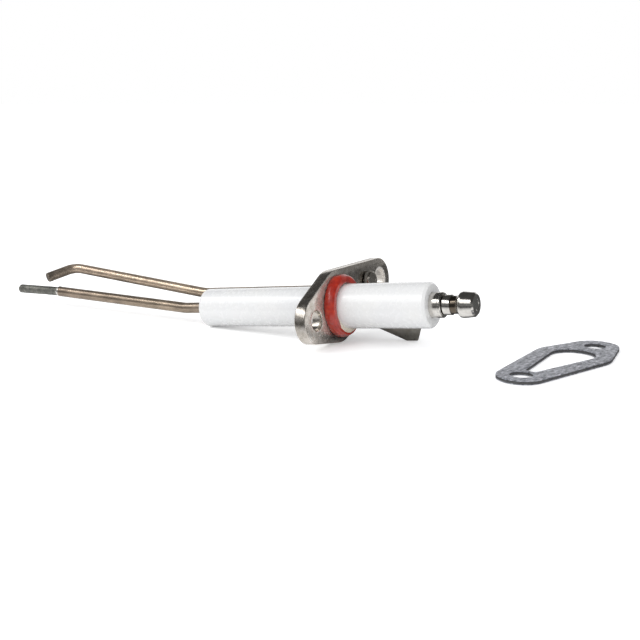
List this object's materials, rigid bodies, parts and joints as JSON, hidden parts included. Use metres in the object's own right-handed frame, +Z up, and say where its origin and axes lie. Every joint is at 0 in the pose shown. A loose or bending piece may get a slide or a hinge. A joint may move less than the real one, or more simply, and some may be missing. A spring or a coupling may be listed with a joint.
{
  "type": "ignition electrode",
  "caption": "Burner ignition electrode: stepped ceramic insulator in a lobed metal flange, ignition and earth rods with a spark gap, push-on terminal, earth tab, loose flange gasket.",
  "frame": {"origin": "middle of the electrode and its loose gasket as they lie, on the surface they rest on", "axes": "+X along the electrode from the spark tips to the terminal, +Y along the flange towards its long lobe, +Z up from the surface"},
  "size_m": [0.1878, 0.0514, 0.0199],
  "materials": {
    "glazed_alumina": "glossy white glaze",
    "ceramic_cement": "matt beige",
    "heat_tinted_steel": "drawn wire, straw to brown heat tint",
    "scaled_tip_alloy": "dark oxide scale",
    "plated_steel": "bright nickel plate, lightly speckled",
    "bright_nickel": "polished, turned",
    "red_silicone": "glossy orange-red",
    "tinned_brass": "dull tin plate",
    "facing_foil": "bluish grey, fine crinkle",
    "graphite_fibre": "matt dark fibre"
  },
  "bodies": {
    "electrode": {"ceramic_insulator": "glazed_alumina", "ignition_rod": "heat_tinted_steel", "spark_tip": "scaled_tip_alloy", "front_cement": "ceramic_cement", "rear_cement": "ceramic_cement", "flange_cement": "ceramic_cement", "terminal_stud": "bright_nickel", "terminal_collar": "bright_nickel", "terminal_nut": "bright_nickel", "mounting_flange": "plated_steel", "sealing_ring": "red_silicone", "earth_rod": "heat_tinted_steel", "earth_tab": "tinned_brass", "tab_rivet": "plated_steel"},
    "gasket": {"gasket_lower_facing": "facing_foil", "gasket_core": "graphite_fibre", "gasket_upper_facing": "facing_foil"}
  },
  "joints": [
    {"name": "gasket_lift", "type": "slide", "parent": "electrode", "child": "gasket", "axis": [0, 0, 1], "range_m": [0, 0.06]}
  ]
}
